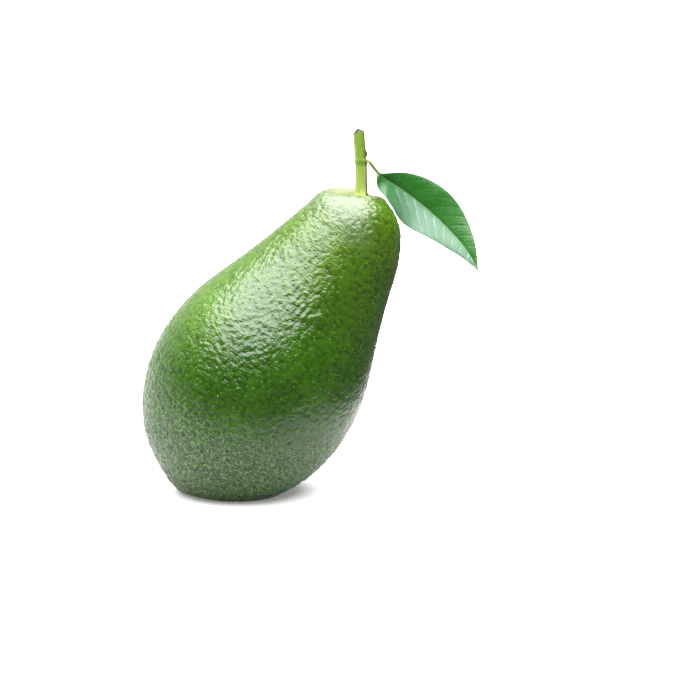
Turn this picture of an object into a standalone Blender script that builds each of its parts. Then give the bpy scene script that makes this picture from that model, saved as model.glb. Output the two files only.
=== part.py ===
"""A whole avocado as picked: the fruit, its cut stem and one young leaf.

The fruit is one solid, a slightly lop-sided pear-shaped body of revolution whose axis leans over,
standing on the flat spot of its blunt end.  The stem is a second solid, seated in a shallow socket
in the neck, and the leaf, blade and petiole in one, is a third.

Frame: metres, +Z up.  The origin is the centre of the flat spot, and the fruit's neck leans
towards +X.  The dimensions below are in millimetres.
"""

import math

import bmesh
import bpy
import numpy as np
from mathutils import Vector

MM = 0.001

# ---------------------------------------------------------------- driving dimensions, millimetres
FRUIT_LEAN_DEG = 33.1            # the fruit's axis from the vertical, towards +X
FRUIT_AXIS_FOOT = (-18.2, 0.0, -0.8)    # a point on that axis, at the blunt end
# half profile of the fruit: distance along the axis from that point, radius
FRUIT_PROFILE = (
    (0.8, 0.0),
    (5.0, 12.6),
    (12.5, 22.5),
    (25.5, 31.0),
    (45.5, 35.1),
    (62.0, 32.8),
    (78.0, 27.1),
    (94.0, 21.6),
    (107.0, 17.5),
    (112.5, 15.0),
    (116.6, 11.4),
    (119.6, 6.2),
    (121.4, 0.0),
)
BULB_DEPTH_SHARE, NECK_DEPTH_SHARE = 1.01, 0.91   # front to back against side to side
NECK_SHIFT = -0.9                # the neck's end sits this far up from the axis, on the upper side
FLAT_BLEND_UNDER, FLAT_BLEND_BACK = 0.2, 1.8      # half the height over which the flat spot runs
                                 # into the round, under the fruit and at its blunt end
NECK_TOP = 102.3                 # height of the level top of the neck
NECK_TOP_FALL = 0.06             # the level top drops this much per millimetre towards +X, past the middle
NECK_TOP_BLEND = 0.8

STEM_FOOT = (42.1, 2.6)          # x, y of the stem's centre line where it leaves the fruit
STEM_LEAN = (-0.8, 0.0)          # how far the cut end has moved from that, x and y
STEM_TOP = 122.4                 # height of the cut end's highest point
STEM_BOTTOM = 98.2               # height of the stem's foot inside its socket
STEM_RADIUS_LOW, STEM_RADIUS_HIGH = 2.05, 1.85
STEM_NODE_HEIGHT = 111.2         # the ring where the leaf and its bud grow
STEM_NODE_SWELL = 0.22
SOCKET_GAP = 0.3                 # clearance round the stem in its socket
NECK_FRONT_FALL = 0.11           # and this much per millimetre towards -Y
NECK_BACK_FALL = 0.27            # behind the stem it drops this much more towards +X
# the shallow hollow in the neck's end: middle, half sizes, depth, and how far in from the rim its wall runs
HOLLOW_MIDDLE, HOLLOW_HALF = (39.6, 0.4), (10.4, 6.8)
HOLLOW_DEPTH, HOLLOW_WALL = 1.3, 0.5

LEAF_THICK = 0.42                # blade, at the margin
LEAF_RIB = 0.55                  # extra thickness below the blade along the midrib
PETIOLE_RADIUS = 0.55
# the leaf's midrib, from the stem's node to the tip of the blade
LEAF_MIDRIB = (
    (44.95, 3.3, 110.85),
    (47.3, 5.8, 107.5),
    (55.7, 11.0, 100.9),
    (61.3, 12.0, 96.5),
    (67.7, 11.4, 91.0),
    (72.7, 9.8, 86.1),
    (77.0, 7.8, 81.3),
    (81.3, 5.2, 74.2),
)
BLADE_START = 0.105              # share of the midrib where the petiole ends and the blade begins
BLADE_FACES = (0.05, -0.93, 0.36)              # the way the blade's upper side looks
# each half of the blade: widest half width, where along the blade, bluntness, fold up from flat
UPPER_HALF = (9.0, 0.46, 1.15, 8.0)
LOWER_HALF = (11.1, 0.35, 0.95, 26.0)


# ---------------------------------------------------------------- curves
class SmoothCurve:
    """A cubic spline through points of any dimension, over its chord length from 0 to 1."""

    def __init__(self, points, start=None, end=None):
        p = np.array(points, float)
        s = np.concatenate([[0.0], np.cumsum(np.linalg.norm(np.diff(p, axis=0), axis=1))])
        n = len(s)
        h = np.diff(s)
        a, b = np.zeros((n, n)), np.zeros_like(p)
        for i in range(1, n - 1):
            a[i, i - 1 : i + 2] = h[i - 1], 2 * (h[i - 1] + h[i]), h[i]
            b[i] = 6 * ((p[i + 1] - p[i]) / h[i] - (p[i] - p[i - 1]) / h[i - 1])
        a[0, 0] = a[-1, -1] = 1.0
        if start is not None:
            a[0, :2] = 2 * h[0], h[0]
            b[0] = 6 * ((p[1] - p[0]) / h[0] - np.array(start, float))
        if end is not None:
            a[-1, -2:] = h[-1], 2 * h[-1]
            b[-1] = 6 * (np.array(end, float) - (p[-1] - p[-2]) / h[-1])
        self.p, self.s, self.h, self.m = p, s, h, np.linalg.solve(a, b)

    def __call__(self, u):
        x = np.atleast_1d(np.asarray(u, float)) * self.s[-1]
        i = np.clip(np.searchsorted(self.s, x, side="right") - 1, 0, len(self.h) - 1)
        h, l, r = self.h[i], self.s[i + 1] - x, x - self.s[i]
        h, l, r = h[:, None], l[:, None], r[:, None]
        m0, m1, p0, p1 = self.m[i], self.m[i + 1], self.p[i], self.p[i + 1]
        return (
            m0 * l**3 / (6 * h)
            + m1 * r**3 / (6 * h)
            + (p0 / h - m0 * h / 6) * l
            + (p1 / h - m1 * h / 6) * r
        )


def even_steps(curve, count):
    """Parameters that split the curve into equal lengths."""
    fine = np.linspace(0, 1, 2001)
    run = np.concatenate([[0.0], np.cumsum(np.linalg.norm(np.diff(curve(fine), axis=0), axis=1))])
    return np.interp(np.linspace(0, run[-1], count), run, fine)


def smoothstep(x):
    x = np.clip(x, 0.0, 1.0)
    return x * x * (3 - 2 * x)


# ---------------------------------------------------------------- the fruit's surface
LEAN = math.radians(FRUIT_LEAN_DEG)
AXIS = np.array([math.sin(LEAN), 0.0, math.cos(LEAN)])
SIDE = np.array([math.cos(LEAN), 0.0, -math.sin(LEAN)])
DEPTH = np.array([0.0, 1.0, 0.0])
PROFILE = SmoothCurve(FRUIT_PROFILE, start=(0.0, 1.0), end=(0.0, -1.0))


def soft_floor(height, blend):
    """What is below 0 is pressed up to 0, with a round of half height blend between the two."""
    return np.where(
        height < -blend, 0.0, np.where(height < blend, (height + blend) ** 2 / (4 * blend), height)
    )


def fruit_point(u, turn):
    """Points of the fruit's skin, millimetres. u runs along the half profile, turn round the axis."""
    along, radius = PROFILE(u).T
    radius = np.maximum(radius, 0.0)
    deep = BULB_DEPTH_SHARE - (BULB_DEPTH_SHARE - NECK_DEPTH_SHARE) * smoothstep((along - 40) / 70)
    shift = NECK_SHIFT * smoothstep((along - 103) / 10)
    p = (
        np.array(FRUIT_AXIS_FOOT)
        + along[:, None] * AXIS
        + (radius * np.cos(turn) + shift)[:, None] * SIDE
        + (radius * deep * np.sin(turn))[:, None] * DEPTH
    )
    # the neck ends in a level top, with a hollow round the stem
    top = NECK_TOP - NECK_TOP_FALL * soft_floor(p[:, 0] - 36.0, 3.0)
    top -= NECK_FRONT_FALL * soft_floor(4.0 - p[:, 1], 3.0)
    top -= NECK_BACK_FALL * soft_floor(p[:, 0] - 38.5, 2.5) * smoothstep((p[:, 1] + 3.0) / 6.0)
    p[:, 2] = top - soft_floor(top - p[:, 2], NECK_TOP_BLEND)
    reach = np.hypot((p[:, 0] - HOLLOW_MIDDLE[0]) / HOLLOW_HALF[0], (p[:, 1] - HOLLOW_MIDDLE[1]) / HOLLOW_HALF[1])
    p[:, 2] -= HOLLOW_DEPTH * smoothstep((1 - reach) / HOLLOW_WALL) * smoothstep((p[:, 2] - 85) / 8)
    # the flat spot: what would be lower than the surface the fruit stands on is pressed flat
    back = smoothstep((1.4 - p[:, 0]) / 18)
    blend = FLAT_BLEND_UNDER + (FLAT_BLEND_BACK - FLAT_BLEND_UNDER) * back
    p[:, 2] = soft_floor(p[:, 2], blend)
    return p


# ---------------------------------------------------------------- building
def new_object(name, bm, colour, roughness):
    mesh = bpy.data.meshes.new(name)
    bmesh.ops.recalc_face_normals(bm, faces=bm.faces)
    bm.to_mesh(mesh)
    bm.free()
    mesh.shade_smooth()
    mesh.set_sharp_from_angle(angle=math.radians(40))
    obj = bpy.data.objects.new(name, mesh)
    bpy.context.scene.collection.objects.link(obj)
    material = bpy.data.materials.new(name + "_material")
    material.use_nodes = True
    shader = material.node_tree.nodes["Principled BSDF"]
    shader.inputs["Base Color"].default_value = (*colour, 1.0)
    shader.inputs["Roughness"].default_value = roughness
    shader.inputs["Metallic"].default_value = 0.0
    mesh.materials.append(material)
    return obj


def loft(bm, loops):
    """Skins closed loops of equal count, and closes both ends with a face."""
    rings = [[bm.verts.new(Vector(p) * MM) for p in loop] for loop in loops]
    n = len(rings[0])
    for lower, upper in zip(rings, rings[1:]):
        for i in range(n):
            j = (i + 1) % n
            bm.faces.new((lower[i], lower[j], upper[j], upper[i]))
    bm.faces.new(rings[0][::-1])
    bm.faces.new(rings[-1])


def build_fruit(segments=48, rings=46):
    bm = bmesh.new()
    turns = np.arange(segments) * 2 * math.pi / segments
    steps = even_steps(PROFILE, rings + 1)
    first = bm.verts.new(Vector(fruit_point(steps[:1], np.zeros(1))[0]) * MM)
    last = bm.verts.new(Vector(fruit_point(steps[-1:], np.zeros(1))[0]) * MM)
    grid = []
    for u in steps[1:-1]:
        grid.append([bm.verts.new(Vector(p) * MM) for p in fruit_point(np.full(segments, u), turns)])
    for i in range(segments):
        j = (i + 1) % segments
        bm.faces.new((first, grid[0][j], grid[0][i]))
        bm.faces.new((last, grid[-1][i], grid[-1][j]))
        for lower, upper in zip(grid, grid[1:]):
            bm.faces.new((lower[i], lower[j], upper[j], upper[i]))
    return new_object("fruit", bm, (0.065, 0.19, 0.022), 0.32)


def stem_radius(z):
    share = (z - STEM_BOTTOM) / (STEM_TOP - STEM_BOTTOM)
    node = math.exp(-(((z - STEM_NODE_HEIGHT) / 0.9) ** 2))
    return STEM_RADIUS_LOW + (STEM_RADIUS_HIGH - STEM_RADIUS_LOW) * share + STEM_NODE_SWELL * node


def stem_centre(z):
    share = smoothstep((z - 107.0) / (STEM_TOP - 107.0))
    return Vector((STEM_FOOT[0] + STEM_LEAN[0] * share, STEM_FOOT[1] + STEM_LEAN[1] * share, z))


def build_stem(segments=20):
    """A round shoot with a swollen node, cut off square on one side and obliquely on the other."""
    bm = bmesh.new()
    heights = [STEM_BOTTOM, 100, 102, 104, 106, 108, 109.2, 109.9, 110.3, 110.6, 110.9, 111.3, 112,
               113.2, 115, 117, 119, 121, STEM_TOP + 1.5]
    loops = []
    for z in heights:
        c, r = stem_centre(z), stem_radius(z)
        loops.append(
            [c + Vector((r * math.cos(a), r * math.sin(a), 0))
             for a in (2 * math.pi * i / segments for i in range(segments))]
        )
    loft(bm, loops)
    top = stem_centre(STEM_TOP)
    for point, normal in (
        ((top.x, top.y, STEM_TOP - 0.9), (0.12, -0.10, 1.0)),
        ((top.x - 0.2, top.y, STEM_TOP - 0.35), (-0.75, -0.25, 0.66)),
    ):
        cut = bmesh.ops.bisect_plane(
            bm,
            geom=bm.verts[:] + bm.edges[:] + bm.faces[:],
            dist=1e-7,
            plane_co=Vector(point) * MM,
            plane_no=Vector(normal).normalized(),
            clear_outer=True,
        )
        edges = [e for e in cut["geom_cut"] if isinstance(e, bmesh.types.BMEdge)]
        bmesh.ops.edgeloop_fill(bm, edges=edges)
    return new_object("stem", bm, (0.42, 0.55, 0.12), 0.45)


def socket_cutter(segments=20):
    bm = bmesh.new()
    r = STEM_RADIUS_LOW + SOCKET_GAP
    c = stem_centre(STEM_BOTTOM)
    loft(
        bm,
        [
            [Vector((c.x + r * math.cos(a), c.y + r * math.sin(a), z))
             for a in (2 * math.pi * i / segments for i in range(segments))]
            for z in (STEM_BOTTOM - SOCKET_GAP, STEM_TOP)
        ],
    )
    cutter = new_object("stem_socket_cutter", bm, (0.5, 0.5, 0.5), 0.5)
    cutter.hide_render = True
    cutter.display_type = "WIRE"
    return cutter


MIDRIB = SmoothCurve(LEAF_MIDRIB)


def blade_half_width(share, most, widest, blunt):
    """Half the blade's width at that share of the blade's length."""
    x = min(max(share, 0.0), 1.0) ** (math.log(0.5) / math.log(widest))
    return most * math.sin(math.pi * min(x, 1.0)) ** blunt


def build_leaf(stations=40, across=7):
    bm = bmesh.new()
    steps = even_steps(MIDRIB, stations + 1)
    line = MIDRIB(steps)
    eps = 1e-3
    tangent = MIDRIB(np.minimum(steps + eps, 1)) - MIDRIB(np.maximum(steps - eps, 0))
    tangent /= np.linalg.norm(tangent, axis=1)[:, None]
    run = np.linspace(0, 1, stations + 1)
    loops = []
    for s, m, t in zip(run, line, tangent):
        face = np.array(BLADE_FACES)
        face = face - (face @ t) * t
        face /= np.linalg.norm(face)
        up = np.cross(face, t)
        up *= 1 if up[2] > 0 else -1
        b = (s - BLADE_START) / (1 - BLADE_START)
        grown = float(smoothstep(b / 0.10))
        halves = []
        for sign, (most, widest, blunt, fold) in ((-1, LOWER_HALF), (1, UPPER_HALF)):
            width = max(PETIOLE_RADIUS * (1 - 0.55 * max(b, 0)), blade_half_width(b, most, widest, blunt))
            angle = math.radians(fold) * grown
            out = sign * math.cos(angle) * up + math.sin(angle) * face
            normal = math.cos(angle) * face - sign * math.sin(angle) * up
            halves.append((width, out, normal))
        over, under = [], []
        for k in range(-across, across + 1):
            share = abs(k) / across
            width, out, normal = halves[0 if k < 0 else 1]
            if k == 0:
                normal = face
            base = m + out * width * share + normal * (0.035 * width * math.sin(math.pi * share)) * grown
            round_off = math.sqrt(max(0.0, 1 - (0.94 * share) ** 2))
            rib = math.exp(-((share * width / 0.8) ** 2))
            top = (1 - grown) * PETIOLE_RADIUS * round_off + grown * LEAF_THICK / 2
            low = (1 - grown) * PETIOLE_RADIUS * round_off + grown * (
                LEAF_THICK / 2 + LEAF_RIB * rib * (1 - 0.8 * max(b, 0))
            )
            over.append(base + normal * top)
            under.append(base - normal * low)
        loops.append([Vector(p) for p in over + under[::-1]])
    loft(bm, loops)
    bmesh.ops.triangulate(bm, faces=bm.faces)
    return new_object("leaf", bm, (0.035, 0.16, 0.03), 0.35)


def main():
    for obj in list(bpy.data.objects):
        bpy.data.objects.remove(obj)
    fruit = build_fruit()
    build_stem()
    build_leaf()
    socket = fruit.modifiers.new("stem_socket", "BOOLEAN")
    socket.operation = "DIFFERENCE"
    socket.object = socket_cutter()


main()
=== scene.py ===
"""The looks of the avocado: its pebbled skin, its stem and its leaf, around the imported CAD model."""

import math

import bpy
import numpy as np
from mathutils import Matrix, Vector


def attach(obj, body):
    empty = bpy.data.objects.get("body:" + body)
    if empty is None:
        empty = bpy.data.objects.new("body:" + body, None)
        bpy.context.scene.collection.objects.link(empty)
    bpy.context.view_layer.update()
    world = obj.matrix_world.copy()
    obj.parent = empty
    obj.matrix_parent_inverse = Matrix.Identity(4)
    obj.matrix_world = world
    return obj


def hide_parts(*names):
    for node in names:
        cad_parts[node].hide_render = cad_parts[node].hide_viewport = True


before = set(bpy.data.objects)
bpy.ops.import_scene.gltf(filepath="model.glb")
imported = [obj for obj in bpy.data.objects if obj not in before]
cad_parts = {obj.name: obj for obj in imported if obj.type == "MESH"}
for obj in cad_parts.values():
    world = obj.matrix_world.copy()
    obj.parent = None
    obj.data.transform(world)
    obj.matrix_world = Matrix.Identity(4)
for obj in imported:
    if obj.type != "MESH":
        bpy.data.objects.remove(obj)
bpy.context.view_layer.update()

MM = 0.001
IN_METRES = 1000.0

# ---------------------------------------------------------------- the CAD model's own dimensions, mm
FRUIT_LEAN_DEG = 33.1
FRUIT_AXIS_FOOT = (-18.2, 0.0, -0.8)
FRUIT_PROFILE = (
    (0.8, 0.0),
    (5.0, 12.6),
    (12.5, 22.5),
    (25.5, 31.0),
    (45.5, 35.1),
    (62.0, 32.8),
    (78.0, 27.1),
    (94.0, 21.6),
    (107.0, 17.5),
    (112.5, 15.0),
    (116.6, 11.4),
    (119.6, 6.2),
    (121.4, 0.0),
)
BULB_DEPTH_SHARE, NECK_DEPTH_SHARE = 1.01, 0.91
NECK_SHIFT = -0.9
FLAT_BLEND_UNDER, FLAT_BLEND_BACK = 0.2, 1.8
NECK_TOP = 102.3
NECK_TOP_FALL = 0.06
NECK_TOP_BLEND = 0.8
NECK_FRONT_FALL = 0.11
NECK_BACK_FALL = 0.27

STEM_FOOT = (42.1, 2.6)
STEM_LEAN = (-0.8, 0.0)
STEM_TOP = 122.4
STEM_RADIUS_LOW, STEM_RADIUS_HIGH = 2.05, 1.85
STEM_NODE_HEIGHT = 111.2
# the hollow in the neck's end: middle, half sizes, depth and how far in its wall runs
HOLLOW_MIDDLE, HOLLOW_HALF = (39.6, 0.4), (10.4, 6.8)
HOLLOW_DEPTH, HOLLOW_WALL = 1.3, 0.5

PETIOLE_RADIUS = 0.55
LEAF_MIDRIB = (
    (44.95, 3.3, 110.85),
    (47.3, 5.8, 107.5),
    (55.7, 11.0, 100.9),
    (61.3, 12.0, 96.5),
    (67.7, 11.4, 91.0),
    (72.7, 9.8, 86.1),
    (77.0, 7.8, 81.3),
    (81.3, 5.2, 74.2),
)
BLADE_START = 0.105
BLADE_FACES = (0.05, -0.93, 0.36)
UPPER_HALF = (9.0, 0.46, 1.15, 8.0)
LOWER_HALF = (11.1, 0.35, 0.95, 26.0)

# ---------------------------------------------------------------- the looks' own dimensions, mm
PEBBLE_PITCH, PEBBLE_HEIGHT = 1.55, 0.29      # the skin's grain
SWELL_PITCH, SWELL_HEIGHT = 13.0, 0.16       # slow unevenness under it
LEAF_THICK = 0.34
PETIOLE_REACH = 0.9
VEINS_PER_SIDE = 9


# ---------------------------------------------------------------- curves and noise
class SmoothCurve:
    """A cubic spline through points of any dimension, over its chord length from 0 to 1."""

    def __init__(self, points, start=None, end=None):
        p = np.array(points, float)
        s = np.concatenate([[0.0], np.cumsum(np.linalg.norm(np.diff(p, axis=0), axis=1))])
        n = len(s)
        h = np.diff(s)
        a, b = np.zeros((n, n)), np.zeros_like(p)
        for i in range(1, n - 1):
            a[i, i - 1 : i + 2] = h[i - 1], 2 * (h[i - 1] + h[i]), h[i]
            b[i] = 6 * ((p[i + 1] - p[i]) / h[i] - (p[i] - p[i - 1]) / h[i - 1])
        a[0, 0] = a[-1, -1] = 1.0
        if start is not None:
            a[0, :2] = 2 * h[0], h[0]
            b[0] = 6 * ((p[1] - p[0]) / h[0] - np.array(start, float))
        if end is not None:
            a[-1, -2:] = h[-1], 2 * h[-1]
            b[-1] = 6 * (np.array(end, float) - (p[-1] - p[-2]) / h[-1])
        self.p, self.s, self.h, self.m = p, s, h, np.linalg.solve(a, b)

    def __call__(self, u):
        x = np.atleast_1d(np.asarray(u, float)) * self.s[-1]
        i = np.clip(np.searchsorted(self.s, x, side="right") - 1, 0, len(self.h) - 1)
        h, l, r = self.h[i], self.s[i + 1] - x, x - self.s[i]
        h, l, r = h[:, None], l[:, None], r[:, None]
        m0, m1, p0, p1 = self.m[i], self.m[i + 1], self.p[i], self.p[i + 1]
        return (
            m0 * l**3 / (6 * h)
            + m1 * r**3 / (6 * h)
            + (p0 / h - m0 * h / 6) * l
            + (p1 / h - m1 * h / 6) * r
        )


def even_steps(curve, count):
    fine = np.linspace(0, 1, 4001)
    run = np.concatenate([[0.0], np.cumsum(np.linalg.norm(np.diff(curve(fine), axis=0), axis=1))])
    return np.interp(np.linspace(0, run[-1], count), run, fine)


def smoothstep(x):
    x = np.clip(x, 0.0, 1.0)
    return x * x * (3 - 2 * x)


def hashed(cells, salt):
    """Repeatable numbers from 0 to 1 for whole-number cells, shape (n, 3)."""
    c = cells.astype(np.int64)
    h = (c[:, 0] * 73856093) ^ (c[:, 1] * 19349663) ^ (c[:, 2] * 83492791) ^ (salt * 2654435761)
    h = (h ^ (h >> 13)) * 1274126177
    h = (h ^ (h >> 16)) & 0x7FFFFFFF
    h = (h * 1103515245 + 12345) & 0x7FFFFFFF
    return ((h >> 7) & 0xFFFFFF) / float(0x1000000)


def cell_noise(p, pitch, salt=0):
    """Distances to the nearest and second nearest of one scattered point per cell, in pitches."""
    q = p / pitch
    base = np.floor(q)
    near = np.full(len(q), 9.0)
    second = np.full(len(q), 9.0)
    for dx in (-1, 0, 1):
        for dy in (-1, 0, 1):
            for dz in (-1, 0, 1):
                cell = base + (dx, dy, dz)
                spot = cell + np.stack([hashed(cell, salt + k) for k in (1, 2, 3)], 1) * 0.86 + 0.07
                d = np.linalg.norm(q - spot, axis=1)
                second = np.minimum(second, np.maximum(near, d))
                near = np.minimum(near, d)
    return near, second


def soft_noise(p, pitch, salt=0):
    """Smooth value noise from -1 to 1."""
    q = p / pitch
    base = np.floor(q)
    f = smoothstep(q - base)
    total = np.zeros(len(q))
    for dx in (0, 1):
        for dy in (0, 1):
            for dz in (0, 1):
                w = (
                    (f[:, 0] if dx else 1 - f[:, 0])
                    * (f[:, 1] if dy else 1 - f[:, 1])
                    * (f[:, 2] if dz else 1 - f[:, 2])
                )
                total += w * hashed(base + (dx, dy, dz), salt)
    return total * 2 - 1


# ---------------------------------------------------------------- meshes
def piece(name, points_mm, quads, uv, material, attributes=None):
    """A mesh object from points in millimetres, faces, one map place per face corner and point attributes."""
    mesh = bpy.data.meshes.new(name)
    mesh.from_pydata((np.asarray(points_mm) * MM).tolist(), [], quads)
    layer = mesh.uv_layers.new(name="OFBake")
    layer.data.foreach_set("uv", np.asarray(uv, np.float32).ravel())
    for key, values in (attributes or {}).items():
        a = mesh.attributes.new(key, "FLOAT", "POINT")
        a.data.foreach_set("value", np.asarray(values, np.float32))
    mesh.shade_smooth()
    mesh.materials.append(material)
    mesh.validate()
    obj = bpy.data.objects.new(name, mesh)
    bpy.context.scene.collection.objects.link(obj)
    return obj


def vertex_normals(points, quads):
    q = np.asarray(quads)
    n = np.cross(points[q[:, 2]] - points[q[:, 0]], points[q[:, 3]] - points[q[:, 1]])
    out = np.zeros_like(points)
    for k in range(4):
        np.add.at(out, q[:, k], n)
    return out / np.maximum(np.linalg.norm(out, axis=1), 1e-12)[:, None]


# ---------------------------------------------------------------- the fruit
LEAN = math.radians(FRUIT_LEAN_DEG)
AXIS = np.array([math.sin(LEAN), 0.0, math.cos(LEAN)])
SIDE = np.array([math.cos(LEAN), 0.0, -math.sin(LEAN)])
DEPTH = np.array([0.0, 1.0, 0.0])
PROFILE = SmoothCurve(FRUIT_PROFILE, start=(0.0, 1.0), end=(0.0, -1.0))


def soft_floor(height, blend):
    return np.where(
        height < -blend, 0.0, np.where(height < blend, (height + blend) ** 2 / (4 * blend), height)
    )


def hollow_reach(p):
    """1 on the rim of the neck's hollow, 0 in its middle."""
    return np.hypot((p[:, 0] - HOLLOW_MIDDLE[0]) / HOLLOW_HALF[0], (p[:, 1] - HOLLOW_MIDDLE[1]) / HOLLOW_HALF[1])


def fruit_point(u, turn):
    """Points of the fruit's skin, as in the CAD model."""
    along, radius = PROFILE(u).T
    radius = np.maximum(radius, 0.0)
    deep = BULB_DEPTH_SHARE - (BULB_DEPTH_SHARE - NECK_DEPTH_SHARE) * smoothstep((along - 40) / 70)
    shift = NECK_SHIFT * smoothstep((along - 103) / 10)
    p = (
        np.array(FRUIT_AXIS_FOOT)
        + along[:, None] * AXIS
        + (radius * np.cos(turn) + shift)[:, None] * SIDE
        + (radius * deep * np.sin(turn))[:, None] * DEPTH
    )
    top = NECK_TOP - NECK_TOP_FALL * soft_floor(p[:, 0] - 36.0, 3.0)
    top -= NECK_FRONT_FALL * soft_floor(4.0 - p[:, 1], 3.0)
    top -= NECK_BACK_FALL * soft_floor(p[:, 0] - 38.5, 2.5) * smoothstep((p[:, 1] + 3.0) / 6.0)
    p[:, 2] = top - soft_floor(top - p[:, 2], NECK_TOP_BLEND)
    p[:, 2] -= HOLLOW_DEPTH * smoothstep((1 - hollow_reach(p)) / HOLLOW_WALL) * smoothstep((p[:, 2] - 85) / 8)
    back = smoothstep((1.4 - p[:, 0]) / 18)
    blend = FLAT_BLEND_UNDER + (FLAT_BLEND_BACK - FLAT_BLEND_UNDER) * back
    p[:, 2] = soft_floor(p[:, 2], blend)
    return p


def cube_ball(n):
    """A ball of six n by n grids: directions, quads facing out, and each quad corner's place in a map of 3 by 2 squares."""
    lattice, quads, uv = {}, [], []
    keys = []

    def vertex(key):
        if key not in lattice:
            lattice[key] = len(keys)
            keys.append(key)
        return lattice[key]

    sides = [(2, 1), (2, -1), (0, 1), (0, -1), (1, 1), (1, -1)]
    for f, (axis, sign) in enumerate(sides):
        a, b = (axis + 1) % 3, (axis + 2) % 3
        if sign < 0:
            a, b = b, a
        u0, v0 = f % 3 / 3, f // 3 / 2
        grid = np.empty((n + 1, n + 1), int)
        for i in range(n + 1):
            for j in range(n + 1):
                key = [0, 0, 0]
                key[axis], key[a], key[b] = (n if sign > 0 else 0), i, j
                grid[i, j] = vertex(tuple(key))
        for i in range(n):
            for j in range(n):
                quads.append((grid[i, j], grid[i + 1, j], grid[i + 1, j + 1], grid[i, j + 1]))
                for x, y in ((i, j), (i + 1, j), (i + 1, j + 1), (i, j + 1)):
                    uv.append((u0 + (0.01 + 0.98 * x / n) / 3, v0 + (0.01 + 0.98 * y / n) / 2))
    d = np.tan((np.array(keys, float) / n - 0.5) * math.pi / 2)
    return d / np.linalg.norm(d, axis=1)[:, None], [tuple(int(i) for i in q) for q in quads], uv


def build_fruit(material, n=128):
    direction, quads, uv = cube_ball(n)
    # equal areas of the ball go to equal areas of the fruit
    steps = np.linspace(0, 1, 4001)
    along, radius = PROFILE(steps).T
    strip = np.hypot(np.diff(along), np.diff(radius)) * (radius[1:] + radius[:-1])
    run = np.concatenate([[0.0], np.cumsum(strip)])
    share = (1 - direction[:, 2]) / 2
    u = np.interp((1 - share) * run[-1], run, steps)
    turn = np.arctan2(direction[:, 1], direction[:, 0])
    p = fruit_point(u, turn)
    normal = vertex_normals(p, quads)
    if np.mean(np.einsum("ij,ij->i", normal, p - p.mean(0))) < 0:
        quads = [q[::-1] for q in quads]
        uv = [uv[4 * (i // 4) + 3 - i % 4] for i in range(len(uv))]
        normal = -normal
    along = PROFILE(u)[:, 0]
    # a frame along the fruit, in which the grain is a little longer round it than along it
    local = np.stack([p @ SIDE * 0.86, p @ DEPTH * 0.86, p @ AXIS * 1.28], 1)
    local += 0.7 * np.stack([soft_noise(local, 4.0, 31 + k) for k in range(3)], 1)
    near, second = cell_noise(local, PEBBLE_PITCH, 5)
    dome = 1.0 - 1.5 * smoothstep(near / 0.85)
    grain = soft_noise(local, 1.05, 61) + 0.5 * soft_noise(local, 0.62, 67)
    pebble = 0.62 * dome + 0.38 * grain
    uneven = 0.85 + 0.45 * soft_noise(p, 9.0, 3)
    uneven += 0.30 * smoothstep((62 - along) / 34)       # the blossom end is the roughest
    reach = hollow_reach(p)
    hollow = smoothstep((1.05 - reach) / 0.16) * smoothstep((p[:, 2] - 97.0) / 1.5)
    rest = smoothstep((p[:, 2] - 0.25) / 1.6)
    lift = rest * (
        PEBBLE_HEIGHT * pebble * uneven * (1 - 0.85 * hollow)
        + SWELL_HEIGHT * soft_noise(p, SWELL_PITCH, 17) * (1 - 0.7 * hollow)
    )
    p = p + normal * lift[:, None]
    p[:, 2] = np.where(rest <= 0, 0.0, np.maximum(p[:, 2], 0.0))
    return piece(
        "avocado_skin", p, quads, uv, material,
        {"along": along, "hollow": hollow, "pebble": pebble},
    )


# ---------------------------------------------------------------- the stem
def stem_centre(z):
    share = smoothstep((z - 107.0) / (STEM_TOP - 107.0))
    return np.stack([STEM_FOOT[0] + STEM_LEAN[0] * share, STEM_FOOT[1] + STEM_LEAN[1] * share], -1)


def grid_quads(rows, columns, start=0, flip=False):
    """Quads of rows closed loops of so many columns."""
    quads = []
    for r in range(rows - 1):
        for c in range(columns):
            d = (c + 1) % columns
            q = (start + r * columns + c, start + r * columns + d, start + (r + 1) * columns + d, start + (r + 1) * columns + c)
            quads.append(q[::-1] if flip else q)
    return quads


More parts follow.
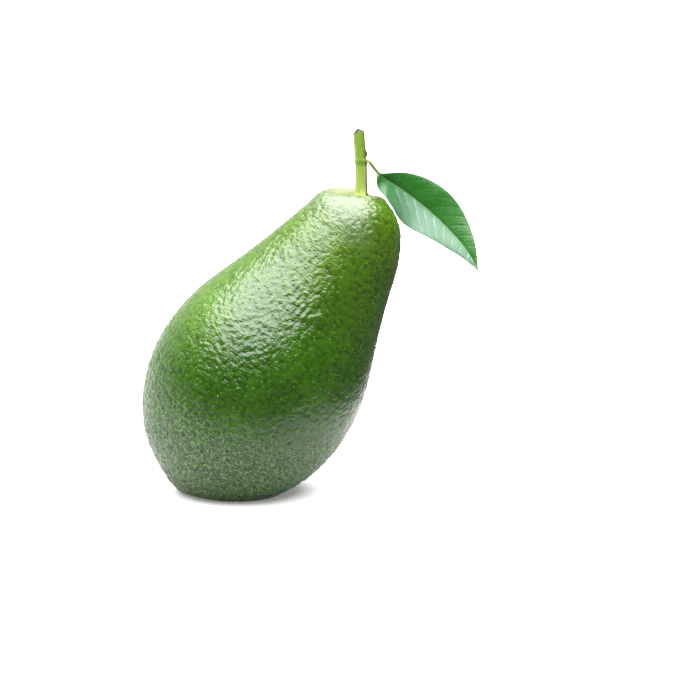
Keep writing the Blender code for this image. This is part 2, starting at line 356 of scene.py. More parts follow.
def build_stem(material, around=96):
    turns = np.arange(around) * 2 * math.pi / around
    ca, sa = np.cos(turns), np.sin(turns)
    low, foot = 98.0, 99.4
    heights = np.linspace(low, STEM_TOP + 0.2, 160)
    loops = []
    for z in heights:
        share = (z - 98.2) / (STEM_TOP - 98.2)
        r = STEM_RADIUS_LOW + (STEM_RADIUS_HIGH - STEM_RADIUS_LOW) * share
        ring = np.full(around, r)
        ring += 0.95 * np.exp(-max(z - foot, 0.0) / 0.9) * (1 + 0.12 * np.cos(turns * 3 + 0.7))
        ring += 0.11 * np.exp(-(((z - STEM_NODE_HEIGHT) / 0.85) ** 2))
        ring -= 0.03 * np.exp(-(((z - STEM_NODE_HEIGHT - 1.2) / 0.5) ** 2))
        # the seat of the leaf's stalk, and a bud over it
        seat = np.exp(-(((turns + 0.25 - 2 * math.pi * (turns > math.pi)) / 0.55) ** 2))
        ring += 0.30 * seat * np.exp(-(((z - 110.9) / 0.8) ** 2))
        bud = np.exp(-(((turns - 0.05 - 2 * math.pi * (turns > math.pi)) / 0.30) ** 2))
        ring += 0.48 * bud * np.exp(-(((z - 113.7) / 1.1) ** 2))
        c = stem_centre(z)
        loops.append(np.stack([c[0] + ring * ca, c[1] + ring * sa, np.full(around, z)], 1))
    wall = np.array(loops)
    flat = wall.reshape(-1, 3)
    radial = np.stack([np.tile(ca, len(heights)), np.tile(sa, len(heights)), np.zeros(len(flat))], 1)
    ribs = 0.030 * np.sin(np.tile(turns, len(heights)) * 11 + 0.05 * flat[:, 2])
    flat = flat + radial * (ribs + 0.035 * soft_noise(flat * (1, 1, 0.35), 1.1, 41) + 0.012 * soft_noise(flat, 0.45, 43))[:, None]
    # the end: cut level on one side and torn down on the other
    top = stem_centre(STEM_TOP)
    x, y = flat[:, 0] - top[0], flat[:, 1] - top[1]

    def cut(x, y):
        level = STEM_TOP - 0.80 - 0.32 * x + 0.10 * y
        slope = STEM_TOP - 0.65 + 1.15 * (x + 0.15) + 0.30 * y
        k = 0.25
        low_one = -np.logaddexp(-level / k, -slope / k) * k
        return low_one + 0.10 * soft_noise(np.stack([x, y, x * 0], -1), 0.8, 51)

    flat[:, 2] = np.minimum(flat[:, 2], cut(x, y))
    points = [flat]
    rows = len(heights)
    edge = flat.reshape(rows, around, 3)[-1]
    on_cut = [np.zeros(len(flat))]
    on_cut[0][-around:] = 1
    for scale, drop in ((0.93, 0.02), (0.80, 0.16), (0.55, 0.24), (0.28, 0.20)):
        ring = edge.copy()
        ring[:, :2] = top + (edge[:, :2] - top) * scale
        ring[:, 2] = cut(ring[:, 0] - top[0], ring[:, 1] - top[1]) - drop
        points.append(ring)
        on_cut.append(np.ones(around))
    points.append(np.array([[top[0], top[1], cut(np.zeros(1), np.zeros(1))[0] - 0.18]]))
    on_cut.append(np.ones(1))
    bottom = len(flat) + 4 * around + 1
    points.append(np.array([[STEM_FOOT[0], STEM_FOOT[1], low - 0.2]]))
    on_cut.append(np.zeros(1))
    p = np.vstack(points)
    total_rows = rows + 4
    quads = grid_quads(total_rows, around)
    uv = []
    for r in range(total_rows - 1):
        for c in range(around):
            for rr, cc in ((r, c), (r, c + 1), (r + 1, c + 1), (r + 1, c)):
                if r < rows - 1:
                    uv.append((0.01 + 0.68 * cc / around, 0.01 + 0.98 * rr / (rows - 1)))
                else:
                    ring = 0.13 * (1.0, 0.93, 0.80, 0.55, 0.28)[rr - rows + 1]
                    a = 2 * math.pi * cc / around
                    uv.append((0.85 + ring * math.cos(a), 0.80 + ring * math.sin(a)))
    last = (total_rows - 1) * around
    for c in range(around):
        d = (c + 1) % around
        quads.append((last + c, last + d, bottom - 1))
        for ring, cc in ((0.0364, c), (0.0364, c + 1), (0, 0)):
            a = 2 * math.pi * cc / around
            uv.append((0.85 + ring * math.cos(a), 0.80 + ring * math.sin(a)))
    for c in range(around):
        d = (c + 1) % around
        quads.append((d, c, bottom))
        for ring, cc in ((0.12, c + 1), (0.12, c), (0, 0)):
            a = 2 * math.pi * cc / around
            uv.append((0.85 + ring * math.cos(a), 0.30 + ring * math.sin(a)))
    z = p[:, 2]
    side = (p[:, 0] - stem_centre(z)[:, 0]) / 2.0
    # the torn facet under the cut's low side, and the bud's tip
    lx = p[:, 0] - stem_centre(z)[:, 0]
    torn = smoothstep((0.45 - lx) / 0.6) * smoothstep((z - (STEM_TOP - 1.75 + 1.0 * (lx + 0.9))) / 0.6)
    bud = np.exp(-(((z - 113.8) / 1.15) ** 2)) * smoothstep((side - 0.60) / 0.30)
    return piece(
        "avocado_stem", p, quads, uv, material,
        {"cut": np.concatenate(on_cut), "height": z - foot, "side": side, "torn": torn, "bud": bud},
    )


# ---------------------------------------------------------------- the leaf
MIDRIB = SmoothCurve(LEAF_MIDRIB)


def blade_half_width(share, most, widest, blunt):
    x = np.clip(share, 0.0, 1.0) ** (math.log(0.5) / math.log(widest))
    return most * np.sin(math.pi * np.minimum(x, 1.0)) ** blunt


def build_leaf(material, stations=240, across=44):
    steps = even_steps(MIDRIB, stations + 1)
    line = MIDRIB(steps)
    eps = 1e-3
    tangent = MIDRIB(np.minimum(steps + eps, 1)) - MIDRIB(np.maximum(steps - eps, 0))
    tangent /= np.linalg.norm(tangent, axis=1)[:, None]
    run = np.linspace(0, 1, stations + 1)
    line[0] -= PETIOLE_REACH * tangent[0]        # the stalk runs on to its seat on the stem
    over, under, vein_of, across_of, along_of = [], [], [], [], []
    for s, m, t in zip(run, line, tangent):
        face = np.array(BLADE_FACES)
        face = face - (face @ t) * t
        face /= np.linalg.norm(face)
        up = np.cross(face, t)
        up *= 1 if up[2] > 0 else -1
        b = (s - BLADE_START) / (1 - BLADE_START)
        grown = float(smoothstep(b / 0.10))
        halves = []
        for sign, (most, widest, blunt, fold) in ((-1, LOWER_HALF), (1, UPPER_HALF)):
            wide = max(PETIOLE_RADIUS * (1 - 0.7 * max(b, 0)), float(blade_half_width(b, most, widest, blunt)))
            angle = math.radians(fold) * grown
            out = sign * math.cos(angle) * up + math.sin(angle) * face
            normal = math.cos(angle) * face - sign * math.sin(angle) * up
            halves.append((wide, out, normal))
        row_over, row_under, row_vein, row_across = [], [], [], []
        for k in range(-across, across + 1):
            share = abs(k) / across
            share = share**0.9 if share else 0.0
            sign = -1 if k < 0 else 1
            wide, out, normal = halves[0 if k < 0 else 1]
            if k == 0:
                normal = face
            w = wide * share
            # side veins leave the midrib steeply and bend towards the tip
            phase = max(b, 0) * VEINS_PER_SIDE * 1.25 - 0.145 * w - 0.010 * w * w + (0.35 if sign < 0 else 0.0)
            ripple = abs(math.sin(math.pi * phase))
            vein = math.exp(-((min(phase % 1, 1 - phase % 1) / 0.085) ** 2)) * (1 - smoothstep((share - 0.80) / 0.2))
            minor = math.sin(math.pi * phase * 3) ** 2
            puff = grown * ((0.040 if sign < 0 else 0.020) * ripple**0.7 + 0.010 * minor) * smoothstep(w / 1.5) * (1 - 0.6 * share**3)
            wave = grown * 0.30 * share**2 * math.sin(2 * math.pi * (2.3 * b + 0.15 * sign)) * math.sin(math.pi * min(max(b, 0), 1))
            arch = 0.035 * wide * math.sin(math.pi * share) * grown
            base = m + out * w + normal * (arch + wave)
            round_off = math.sqrt(max(0.0, 1 - (0.96 * share) ** 2))
            edge = math.sqrt(max(0.0, 1 - share**10))
            rib = math.exp(-((w / 0.55) ** 2))
            stalk = (1 - grown) * PETIOLE_RADIUS * round_off
            top = stalk + grown * (LEAF_THICK / 2 * edge - 0.12 * rib * (1 - max(b, 0)) ** 0.5) + puff * edge - 0.025 * grown * vein
            low = stalk + grown * (
                LEAF_THICK / 2 * edge + 0.62 * rib * (1 - 0.75 * max(b, 0)) + 0.10 * vein * edge
            ) - puff * 0.8 * edge
            row_over.append(base + normal * top)
            row_under.append(base - normal * low)
            row_vein.append(max(vein * grown, rib * grown))
            row_across.append(sign * share)
        over.append(row_over)
        under.append(row_under)
        vein_of.append(row_vein)
        across_of.append(row_across)
        along_of.append([b] * (2 * across + 1))
    over, under = np.array(over), np.array(under)
    rows, columns = over.shape[:2]
    # both margins are shared, so the blade closes there
    middle_l, middle_r = (over[:, 0] + under[:, 0]) / 2, (over[:, -1] + under[:, -1]) / 2
    loops = np.concatenate([middle_l[:, None], over[:, 1:-1], middle_r[:, None], under[:, -2:0:-1]], 1)
    around = loops.shape[1]

    def loop_of(rows_of_values):
        v = np.array(rows_of_values)
        return np.concatenate([v[:, :1], v[:, 1:-1], v[:, -1:], v[:, -2:0:-1]], 1)

    vein = loop_of(vein_of)
    wide = loop_of(across_of)
    along = loop_of(along_of)
    back = np.zeros_like(vein)
    back[:, columns:] = 1
    back[:, 0] = back[:, columns - 1] = 0.5
    p = loops.reshape(-1, 3)
    quads = grid_quads(rows, around)
    uv = []
    for r in range(rows - 1):
        for c in range(around):
            for rr, cc in ((r, c), (r, c + 1), (r + 1, c + 1), (r + 1, c)):
                v = 0.01 + 0.96 * rr / (rows - 1)
                if c < columns - 1:
                    uv.append((0.01 + 0.47 * cc / (columns - 1), v))
                else:
                    uv.append((0.52 + 0.47 * (cc - columns + 1) / (around - columns + 1), v))
    ends = [p.reshape(rows, around, 3)[0].mean(0), p.reshape(rows, around, 3)[-1].mean(0)]
    p = np.vstack([p, ends])
    first, last = len(p) - 2, len(p) - 1
    start = (rows - 1) * around
    for c in range(around):
        d = (c + 1) % around
        quads.append((d, c, first))
        quads.append((start + c, start + d, last))
        a, e = 2 * math.pi * c / around, 2 * math.pi * (c + 1) / around
        uv += [(0.10 + 0.008 * math.cos(e), 0.985 + 0.008 * math.sin(e)), (0.10 + 0.008 * math.cos(a), 0.985 + 0.008 * math.sin(a)), (0.10, 0.985)]
        uv += [(0.15 + 0.008 * math.cos(a), 0.985 + 0.008 * math.sin(a)), (0.15 + 0.008 * math.cos(e), 0.985 + 0.008 * math.sin(e)), (0.15, 0.985)]
    pad = lambda v, a, b: np.concatenate([v.ravel(), [a, b]])
    points = p
    signed = np.einsum("ij,ij->", np.cross(points[[q[0] for q in quads]], points[[q[1] for q in quads]]), points[[q[2] for q in quads]])
    obj = piece(
        "avocado_leaf", p, quads, uv, material,
        {
            "vein": pad(vein, 0, 1),
            "across": pad(wide, 0, 0),
            "blade": pad(along, float(along[0, 0]), 1.0),
            "back": pad(back, 0.5, 0.5),
        },
    )
    return obj


# ---------------------------------------------------------------- materials
class Nodes:
    """Short calls for building a node tree."""

    def __init__(self, name):
        self.material = bpy.data.materials.new(name)
        self.material.use_nodes = True
        self.tree = self.material.node_tree
        self.shader = self.tree.nodes["Principled BSDF"]

    def new(self, kind, **settings):
        node = self.tree.nodes.new(kind)
        for key, value in settings.items():
            setattr(node, key, value)
        return node

    def put(self, socket, value):
        if isinstance(value, bpy.types.NodeSocket):
            self.tree.links.new(value, socket)
        elif value is not None:
            socket.default_value = value

    def math(self, operation, a, b=None, c=None, clamp=False):
        node = self.new("ShaderNodeMath", operation=operation, use_clamp=clamp)
        for socket, value in zip(node.inputs, (a, b, c)):
            self.put(socket, value)
        return node.outputs[0]

    def ramp(self, value, low, high, to_low=0.0, to_high=1.0, smooth=True):
        node = self.new("ShaderNodeMapRange", interpolation_type="SMOOTHSTEP" if smooth else "LINEAR")
        for key, v in (("Value", value), ("From Min", low), ("From Max", high), ("To Min", to_low), ("To Max", to_high)):
            self.put(node.inputs[key], v)
        return node.outputs[0]

    def mix(self, factor, a, b, blend="MIX"):
        node = self.new("ShaderNodeMix", data_type="RGBA", blend_type=blend)
        self.put(node.inputs["Factor"], factor)
        colours = [s for s in node.inputs if s.type == "RGBA"]
        for socket, value in zip(colours, (a, b)):
            self.put(socket, (*value, 1.0) if isinstance(value, tuple) and len(value) == 3 else value)
        return [s for s in node.outputs if s.type == "RGBA"][0]

    def attribute(self, name):
        return self.new("ShaderNodeAttribute", attribute_type="GEOMETRY", attribute_name=name).outputs["Fac"]

    def place(self, scale, rotation=(0, 0, 0)):
        """Object coordinates, turned and scaled so that one unit is one pitch."""
        coords = self.new("ShaderNodeTexCoord").outputs["Object"]
        turn = self.new("ShaderNodeMapping", vector_type="POINT")
        turn.inputs["Rotation"].default_value = rotation
        self.put(turn.inputs["Vector"], coords)
        size = self.new("ShaderNodeMapping", vector_type="POINT")
        size.inputs["Scale"].default_value = scale
        self.put(size.inputs["Vector"], turn.outputs[0])
        return size.outputs[0]

    def noise(self, vector, scale=1.0, detail=2.0, roughness=0.5, distortion=0.0):
        node = self.new("ShaderNodeTexNoise", noise_dimensions="3D")
        self.put(node.inputs["Vector"], vector)
        node.inputs["Scale"].default_value = scale
        node.inputs["Detail"].default_value = detail
        node.inputs["Roughness"].default_value = roughness
        node.inputs["Distortion"].default_value = distortion
        return node.outputs[0]

    def cells(self, vector, scale=1.0, feature="F1", randomness=1.0):
        node = self.new("ShaderNodeTexVoronoi", voronoi_dimensions="3D", feature=feature)
        self.put(node.inputs["Vector"], vector)
        node.inputs["Scale"].default_value = scale
        node.inputs["Randomness"].default_value = randomness
        return node

    def bump(self, height, distance, strength=1.0, normal=None):
        node = self.new("ShaderNodeBump")
        node.inputs["Strength"].default_value = strength
        node.inputs["Distance"].default_value = distance
        self.put(node.inputs["Height"], height)
        if normal is not None:
            self.put(node.inputs["Normal"], normal)
        return node.outputs[0]

    def finish(self, colour, roughness, normal, **fixed):
        s = self.shader
        self.put(s.inputs["Base Color"], colour)
        self.put(s.inputs["Roughness"], roughness)
        self.put(s.inputs["Normal"], normal)
        for key, value in fixed.items():
            s.inputs[key.replace("_", " ")].default_value = value
        return self.material


def skin_material():
    n = Nodes("avocado_skin")
    grain = n.place((860, 860, 1280), (0, -LEAN, 0))       # one unit is about a millimetre
    plain = n.place((1000, 1000, 1000))
    along = n.attribute("along")

    # the rim of the hollow round the stem
    flat = n.new("ShaderNodeMapping", vector_type="POINT")
    n.put(flat.inputs["Vector"], plain)
    flat.inputs["Location"].default_value = (-HOLLOW_MIDDLE[0] / HOLLOW_HALF[0], -HOLLOW_MIDDLE[1] / HOLLOW_HALF[1], 0)
    flat.inputs["Scale"].default_value = (1 / HOLLOW_HALF[0], 1 / HOLLOW_HALF[1], 0)
    length = n.new("ShaderNodeVectorMath", operation="LENGTH")
    n.put(length.inputs[0], flat.outputs[0])
    parts = n.new("ShaderNodeSeparateXYZ")
    n.put(parts.inputs[0], plain)
    high = n.ramp(parts.outputs["Z"], 96.5, 99.0)
    wavy = n.math("MULTIPLY_ADD", n.noise(plain, 0.7, 2.0), 0.14, -0.07)
    reach = n.math("ADD", length.outputs["Value"], wavy)
    hollow = n.math("MULTIPLY", n.ramp(reach, 0.90, 1.02, 1.0, 0.0), high)
    rim = n.math("MULTIPLY", n.ramp(n.math("ABSOLUTE", n.math("SUBTRACT", reach, 1.0)), 0.0, 0.07, 1.0, 0.0), high)

    # colour: deep green, lighter and yellower up the neck, with slow patches
    patches = n.noise(plain, 0.055, 3.0, 0.6)
    mottle = n.noise(plain, 0.50, 3.0, 0.6)
    colour = n.mix(n.ramp(patches, 0.35, 0.68), (0.0165, 0.060, 0.0016), (0.0240, 0.082, 0.0022))
    colour = n.mix(n.ramp(mottle, 0.45, 0.75, 0.0, 0.45), colour, (0.045, 0.122, 0.004))
    neck = n.ramp(along, 62.0, 118.0)
    # the neck is yellower all over, and more so on its upper side: painted light there, where the overhead light falls
    painted_light_upper_side = n.ramp(n.math("SUBTRACT", parts.outputs["X"], n.math("MULTIPLY", along, math.sin(LEAN))), -22.0, -14.0, 1.0, 0.0)
    colour = n.mix(n.math("MULTIPLY", neck, n.math("MULTIPLY_ADD", painted_light_upper_side, 0.30, 0.42)), colour, (0.096, 0.175, 0.009))

    # painted light: the left edge of the belly and shoulder lighter and yellower, where the overhead light falls
    edge = n.ramp(n.math("SUBTRACT", parts.outputs["X"], n.math("MULTIPLY", along, math.sin(LEAN))), -43.0, -29.0, 1.0, 0.0)
    painted_light_edge = n.math("MULTIPLY", edge, n.math("MULTIPLY", n.ramp(along, 34.0, 62.0), 0.60))
    colour = n.mix(painted_light_edge, colour, (0.078, 0.165, 0.005))

    # the valleys between the pebbles are darker, painted shade in the creases, and the blossom end is paler all over
    low = n.ramp(along, 22.0, 60.0, 1.0, 0.0)
    bare = n.math("SUBTRACT", 1.0, hollow)
    pebble = n.attribute("pebble")
    colour = n.mix(n.math("MULTIPLY", low, 0.22), colour, (0.055, 0.132, 0.016))
    painted_shade_valley = n.math("MULTIPLY", n.ramp(pebble, -0.45, 0.10, 1.0, 0.0), n.math("MULTIPLY_ADD", low, 0.15, 0.50))
    colour = n.mix(painted_shade_valley, colour, (0.006, 0.022, 0.001))

    # lenticels: small raised pale dots of uneven size, one in most cells
    dots = n.cells(plain, 0.78, "F1", 0.95)
    pick = n.new("ShaderNodeSeparateColor")
    n.put(pick.inputs[0], dots.outputs["Color"])
    radius = n.ramp(pick.outputs[0], 0.0, 1.0, 0.10, 0.30, smooth=False)
    inside = n.math("MULTIPLY", n.ramp(n.math("SUBTRACT", dots.outputs["Distance"], radius), -0.14, 0.06, 1.0, 0.0), bare)
    pale = n.ramp(pick.outputs[1], 0.0, 1.0, 0.10, 0.75, smooth=False)
    strength = n.math("MULTIPLY", inside, pale)
    colour = n.mix(strength, colour, (0.120, 0.235, 0.045))
    # the blossom end carries many more, smaller and whiter dots
    crowd = n.cells(plain, 0.95, "F1", 1.0)
    which = n.new("ShaderNodeSeparateColor")
    n.put(which.inputs[0], crowd.outputs["Color"])
    size = n.ramp(which.outputs[0], 0.0, 1.0, 0.14, 0.38, smooth=False)
    speck = n.ramp(n.math("SUBTRACT", crowd.outputs["Distance"], size), -0.14, 0.05, 1.0, 0.0)
    under = n.math("ADD", n.math("MULTIPLY", along, 0.6), n.math("MULTIPLY", parts.outputs["Z"], 0.5))
    blossom = n.ramp(under, 20.0, 46.0, 1.0, 0.0)
    speck = n.math("MULTIPLY", speck, n.math("MULTIPLY", blossom, n.ramp(which.outputs[1], 0.0, 1.0, 0.15, 1.0, smooth=False)))
    colour = n.mix(n.math("MULTIPLY", speck, 0.55), colour, (0.330, 0.450, 0.240))

    # and a fine pale and dark mottle between them, raised where pale: partly the skin's own mottle, partly painted
    # glints and painted shade of the sheen off the floor
    mottle_and_painted_glints = n.noise(plain, 1.25, 1.0, 0.5)
    colour = n.mix(n.math("MULTIPLY", n.ramp(mottle_and_painted_glints, 0.50, 0.66, 0.0, 0.50), blossom), colour, (0.190, 0.350, 0.120))
    colour = n.mix(n.math("MULTIPLY", n.ramp(mottle_and_painted_glints, 0.48, 0.34, 0.0, 0.60), blossom), colour, (0.007, 0.030, 0.002))

    # pits: small dimples, painted dark as shade in them
    pits = n.cells(grain, 0.50, "F1", 1.0).outputs["Distance"]
    pit_and_painted_shade = n.math("MULTIPLY", n.ramp(pits, 0.07, 0.26, 1.0, 0.0), bare)
    close = n.cells(grain, 0.92, "F1", 1.0).outputs["Distance"]
    pit_and_painted_shade = n.math("MAXIMUM", pit_and_painted_shade, n.math("MULTIPLY", n.ramp(close, 0.10, 0.30, 0.85, 0.0), n.math("MULTIPLY", blossom, bare)))
    colour = n.mix(n.math("MULTIPLY", pit_and_painted_shade, 0.85), colour, (0.004, 0.013, 0.001))

    # the smooth pale hollow round the stem, with a corky rim
    # a painted highlight: whitish grey on the front of the neck's end, where the overhead light is reflected
    painted_highlight_cap = n.math("MULTIPLY", n.ramp(along, 101.0, 114.0), n.ramp(mottle, 0.3, 0.7, 0.25, 0.50))
    painted_highlight_cap = n.math("MULTIPLY", painted_highlight_cap, n.ramp(parts.outputs["X"], 39.0, 48.0, 1.0, 0.0))
    colour = n.mix(painted_highlight_cap, colour, (0.175, 0.200, 0.170))
    colour = n.mix(hollow, colour, (0.130, 0.158, 0.052))
    colour = n.mix(n.math("MULTIPLY", rim, n.ramp(mottle, 0.3, 0.55, 0.25, 0.70)), colour, (0.090, 0.075, 0.025))

    fine = n.noise(grain, 1.15, 2.0, 0.55)
    tooth = n.noise(plain, 3.4, 2.0, 0.6)
    height = n.math("MULTIPLY", fine, n.math("MULTIPLY_ADD", blossom, 0.22, 0.18))
    height = n.math("ADD", height, n.math("MULTIPLY", pit_and_painted_shade, n.math("MULTIPLY_ADD", blossom, -0.16, -0.08)))
    height = n.math("ADD", height, n.math("MULTIPLY", speck, 0.20))
    height = n.math("ADD", height, n.math("MULTIPLY", inside, n.math("MULTIPLY_ADD", low, 0.05, 0.03)))
    height = n.math("ADD", height, n.math("MULTIPLY", n.math("MULTIPLY", mottle_and_painted_glints, blossom), 0.32))
    height = n.math("ADD", height, n.math("MULTIPLY", tooth, 0.02))
    height = n.math("MULTIPLY", height, n.math("SUBTRACT", 1.0, n.math("MULTIPLY", hollow, 0.8)))
    normal = n.bump(height, MM)

    rough = n.math("ADD", n.ramp(mottle, 0.3, 0.7, 0.16, 0.24), n.math("MULTIPLY", pit_and_painted_shade, 0.20))
    rough = n.math("ADD", rough, n.math("MULTIPLY", hollow, 0.30))
    return n.finish(colour, rough, normal, IOR=1.54)


def stem_material():
    n = Nodes("avocado_stem")
    fibre = n.place((1400, 1400, 130))
    plain = n.place((1000, 1000, 1000))
    height = n.attribute("height")
    cut = n.attribute("cut")
    side = n.attribute("side")
    streak = n.noise(fibre, 1.0, 3.0, 0.6)
    blotch = n.noise(plain, 0.55, 2.0, 0.5)
    colour = n.mix(n.ramp(height, 2.0, 13.0), (0.36, 0.46, 0.125), (0.245, 0.375, 0.046))
    # painted light and shade: yellower and lighter on the left, the lit side, greener, darker and more mottled on the
    # right, the shaded side
    colour = n.mix(n.ramp(side, -0.2, -0.9, 0.0, 0.55), colour, (0.37, 0.44, 0.070))
    colour = n.mix(n.math("MULTIPLY", n.ramp(side, 0.0, 0.8, 0.15, 0.75), n.ramp(height, 9.0, 13.0)), colour, (0.130, 0.215, 0.022))
    colour = n.mix(n.ramp(streak, 0.42, 0.72, 0.0, 0.50), colour, (0.145, 0.235, 0.028))
    colour = n.mix(n.ramp(blotch, 0.55, 0.72, 0.0, 0.40), colour, (0.15, 0.18, 0.032))
    # the ring the leaf grows from is darker
    ring = n.math("ABSOLUTE", n.math("SUBTRACT", height, STEM_NODE_HEIGHT - 99.4 - 0.3))
    colour = n.mix(n.ramp(ring, 0.2, 1.2, 0.50, 0.0), colour, (0.105, 0.165, 0.018))
    colour = n.mix(n.math("MULTIPLY", n.attribute("bud"), 0.92), colour, (0.022, 0.022, 0.012))
    # brown in streaks down the right side: partly brown bark, partly painted shade on the shaded side
    brown_bark_and_painted_shade = n.math("MULTIPLY", n.ramp(side, 0.62, 0.92), n.ramp(streak, 0.30, 0.55, 0.60, 1.0))
    brown_bark_and_painted_shade = n.math("MULTIPLY", brown_bark_and_painted_shade, n.ramp(height, 9.0, 13.5, 1.0, 0.35))
    colour = n.mix(brown_bark_and_painted_shade, colour, (0.060, 0.038, 0.016))
    # dry, dark end
    rim = n.ramp(cut, 0.0, 0.9)
    colour = n.mix(rim, colour, (0.018, 0.016, 0.008))
    colour = n.mix(n.math("MULTIPLY", n.attribute("torn"), 0.92), colour, (0.010, 0.008, 0.005))
    lumps = n.math("ADD", n.math("MULTIPLY", streak, 0.05), n.math("MULTIPLY", n.noise(plain, 2.6, 3.0, 0.6), 0.03))
    rough = n.math("ADD", n.ramp(streak, 0.3, 0.7, 0.36, 0.52), n.math("MULTIPLY", cut, 0.3))
    return n.finish(
        colour, rough, n.bump(lumps, MM), IOR=1.45,
        Subsurface_Weight=0.12, Subsurface_Radius=(0.0012, 0.0014, 0.0004), Subsurface_Scale=1.0,
    )


def leaf_material():
    n = Nodes("avocado_leaf")
    plain = n.place((1000, 1000, 1000))
    vein = n.attribute("vein")
    across = n.attribute("across")
    blade = n.attribute("blade")
    back = n.attribute("back")
    patch = n.noise(plain, 0.16, 3.0, 0.6)
    top = n.mix(n.ramp(patch, 0.35, 0.7), (0.0150, 0.112, 0.009), (0.026, 0.138, 0.019))
    under = n.mix(n.ramp(patch, 0.35, 0.7), (0.07, 0.15, 0.05), (0.10, 0.19, 0.07))
    colour = n.mix(n.ramp(back, 0.25, 0.75), top, under)
    net = n.cells(plain, 1.5, "DISTANCE_TO_EDGE").outputs["Distance"]
    colour = n.mix(n.ramp(net, 0.0, 0.10, 0.18, 0.0), colour, (0.025, 0.105, 0.024))
    colour = n.mix(n.ramp(vein, 0.15, 0.95, 0.0, 0.08), colour, (0.050, 0.170, 0.040))
    middle = n.ramp(n.math("ABSOLUTE", across), 0.0, 0.045, 1.0, 0.0)
    colour = n.mix(n.math("MULTIPLY", middle, 0.7), colour, (0.12, 0.23, 0.075))
    stalk = n.ramp(blade, -0.005, 0.02, 1.0, 0.0)
    colour = n.mix(stalk, colour, (0.36, 0.42, 0.15))
    tip = n.ramp(blade, 0.90, 1.0)
    colour = n.mix(n.math("MULTIPLY", tip, 0.5), colour, (0.20, 0.23, 0.10))
    tooth = n.noise(plain, 3.0, 2.0, 0.6)
    height = n.math("ADD", n.math("MULTIPLY", n.ramp(net, 0.0, 0.2), 0.02), n.math("MULTIPLY", tooth, 0.012))
    # the lower half is a little rougher, and painted paler and bluer: a painted sheen where it reflects the overhead
    # light
    lower = n.ramp(across, 0.02, -0.10)
    rough = n.math("ADD", n.ramp(patch, 0.3, 0.7, 0.24, 0.30), n.math("MULTIPLY", back, 0.16))
    rough = n.math("ADD", rough, n.math("MULTIPLY", lower, 0.09))
    painted_sheen = n.math("MULTIPLY", lower, n.ramp(patch, 0.3, 0.7, 0.50, 0.85))
    painted_sheen = n.math("MULTIPLY", painted_sheen, n.ramp(blade, 0.02, 0.30, 0.15, 1.0))
    colour = n.mix(painted_sheen, colour, (0.070, 0.150, 0.100))
    # painted highlights: pale streaks run down from the midrib between the side veins on the lower half
    run = n.math("MULTIPLY", n.ramp(vein, 0.05, 0.60), n.ramp(across, -0.95, -0.25))
    run = n.math("MULTIPLY", run, n.math("MULTIPLY", lower, n.ramp(n.noise(plain, 0.30, 1.0), 0.38, 0.62)))
    colour = n.mix(n.math("MULTIPLY", run, 0.32), colour, (0.30, 0.43, 0.36))
    return n.finish(
        colour, rough, n.bump(height, MM), IOR=1.52,
        Subsurface_Weight=0.05, Subsurface_Radius=(0.0004, 0.0008, 0.0002), Subsurface_Scale=1.0,
    )


# ---------------------------------------------------------------- the object
for builder, material, node, slot in (
    (build_fruit, skin_material(), "fruit", "skin"),
    (build_stem, stem_material(), "stem", "stem"),
    (build_leaf, leaf_material(), "leaf", "leaf"),
):
    made = builder(material)
    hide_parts(node)
    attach(made, "root")

# ---------------------------------------------------------------- floor, light and camera
def build_floor(radius=14.0, rings=24, around=64):
    points, quads, uv = [(0.0, 0.0, 0.0)], [], []
    for r in range(1, rings + 1):
        d = radius * (r / rings) ** 2.2
        for k in range(around):
            a = 2 * math.pi * k / around
            points.append((d * math.cos(a), d * math.sin(a), 0.0))
    for k in range(around):
        quads.append((0, 1 + k, 1 + (k + 1) % around))
    for r in range(rings - 1):
        for k in range(around):
            a, b = 1 + r * around + k, 1 + r * around + (k + 1) % around
            quads.append((a, a + around, b + around, b))
    mesh = bpy.data.meshes.new("floor")
    mesh.from_pydata(points, [], quads)
    n = Nodes("floor")
    tone = n.noise(n.place((1, 1, 1)), 3.0, 2.0)
    white = n.mix(tone, (0.72, 0.72, 0.71), (0.76, 0.76, 0.75))
    # only the lit table near the fruit, and behind it, throws light back on it
    parts = n.new("ShaderNodeSeparateXYZ")
    n.put(parts.inputs[0], n.new("ShaderNodeTexCoord").outputs["Object"])
    lit = n.math("MULTIPLY", n.ramp(parts.outputs["Y"], -0.095, -0.050), n.ramp(parts.outputs["X"], 0.075, 0.115, 1.0, 0.0))
    thrown = n.mix(lit, (0.02, 0.02, 0.02), (0.40, 0.40, 0.395))
    seen = n.new("ShaderNodeLightPath").outputs["Is Camera Ray"]
    n.finish(n.mix(seen, thrown, white), 0.65, None, IOR=1.3)
    # the table is lit a little from below as well, which keeps its shadows soft
    n.shader.inputs["Emission Color"].default_value = (1, 1, 1, 1)
    n.put(n.shader.inputs["Emission Strength"], n.math("MAXIMUM", n.math("MULTIPLY", seen, 0.22), n.math("MULTIPLY", lit, 0.17)))
    mesh.materials.append(n.material)
    floor = bpy.data.objects.new("floor", mesh)
    bpy.context.scene.collection.objects.link(floor)
    return floor


build_floor()


def sun(name, direction, strength, angle, colour=(1, 1, 1)):
    light = bpy.data.lights.new(name, "SUN")
    light.energy, light.angle, light.color = strength, math.radians(angle), colour
    obj = bpy.data.objects.new(name, light)
    obj.rotation_euler = Vector(direction).to_track_quat("Z", "Y").to_euler()
    bpy.context.scene.collection.objects.link(obj)
    return obj


sun("softbox_over", (0.0, -0.10, 0.99), 14.8, 91)

world = bpy.data.worlds.new("studio")
bpy.context.scene.world = world
world.use_nodes = True
tree = world.node_tree


def world_node(kind, **settings):
    node = tree.nodes.new(kind)
    for key, value in settings.items():
        setattr(node, key, value)
    return node


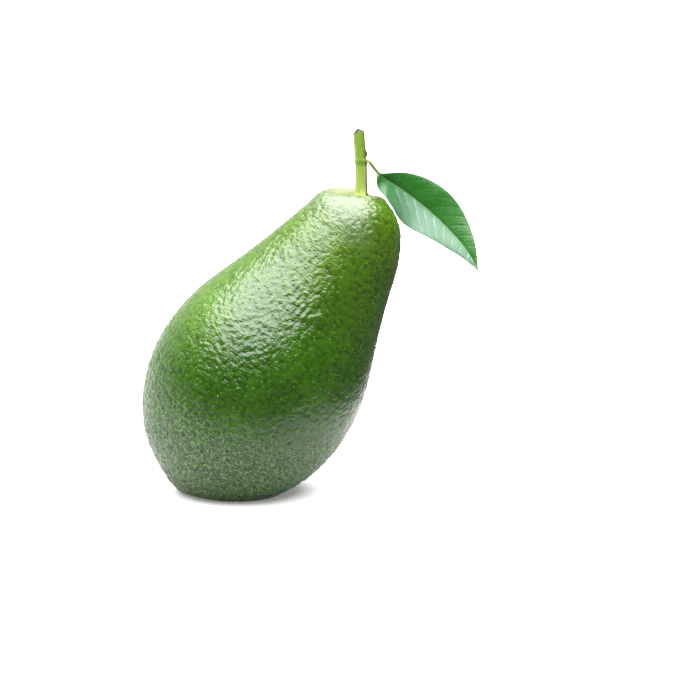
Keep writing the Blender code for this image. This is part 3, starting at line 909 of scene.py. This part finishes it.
def glow(direction, low, high, strength):
    """Light that grows from nothing to its strength between two cosines off a direction."""
    dot = world_node("ShaderNodeVectorMath", operation="DOT_PRODUCT")
    tree.links.new(world_coords.outputs["Generated"], dot.inputs[0])
    dot.inputs[1].default_value = Vector(direction).normalized()
    node = world_node("ShaderNodeMapRange", interpolation_type="SMOOTHSTEP")
    for key, v in (("From Min", low), ("From Max", high), ("To Min", 0.0), ("To Max", strength)):
        node.inputs[key].default_value = v
    tree.links.new(dot.outputs["Value"], node.inputs["Value"])
    return node.outputs[0]


world_coords = world_node("ShaderNodeTexCoord")
over = glow((0.0, -0.10, 0.99), 0.62, 0.76, 0.5)
behind = glow((-0.60, 0.80, -0.15), 0.3, 0.95, 1.0)
total = world_node("ShaderNodeMath", operation="ADD")
tree.links.new(over, total.inputs[0])
tree.links.new(behind, total.inputs[1])
room = world_node("ShaderNodeMath", operation="ADD")
tree.links.new(total.outputs[0], room.inputs[0])
room.inputs[1].default_value = 0.035
background = tree.nodes["Background"]
background.inputs["Color"].default_value = (1, 1, 1, 1)
tree.links.new(room.outputs[0], background.inputs["Strength"])
seen = world_node("ShaderNodeBackground")
seen.inputs["Color"].default_value = (1, 1, 1, 1)
seen.inputs["Strength"].default_value = 1.0
path = world_node("ShaderNodeLightPath")
either = world_node("ShaderNodeMixShader")
tree.links.new(path.outputs["Is Camera Ray"], either.inputs[0])
tree.links.new(background.outputs[0], either.inputs[1])
tree.links.new(seen.outputs[0], either.inputs[2])
tree.links.new(either.outputs[0], tree.nodes["World Output"].inputs["Surface"])

CAMERA_ELEVATION_DEG, CAMERA_DISTANCE = 10.5, 0.800
AIM = Vector((0.0384, 0.0, 0.0484))
elevation = math.radians(CAMERA_ELEVATION_DEG)
camera = bpy.data.cameras.new("camera")
camera.sensor_width = 36.0
camera.lens = CAMERA_DISTANCE * 3000 * 36.0 / 700      # three pixels of 700 to a millimetre
camera.clip_start, camera.clip_end = 0.01, 60.0
camera_object = bpy.data.objects.new("camera", camera)
camera_object.location = AIM + CAMERA_DISTANCE * Vector((0, -math.cos(elevation), math.sin(elevation)))
camera_object.rotation_euler = (math.pi / 2 - elevation, 0, 0)
bpy.context.scene.collection.objects.link(camera_object)
bpy.context.scene.camera = camera_object
bpy.context.scene.view_settings.view_transform = "Standard"

bpy.context.view_layer.update()
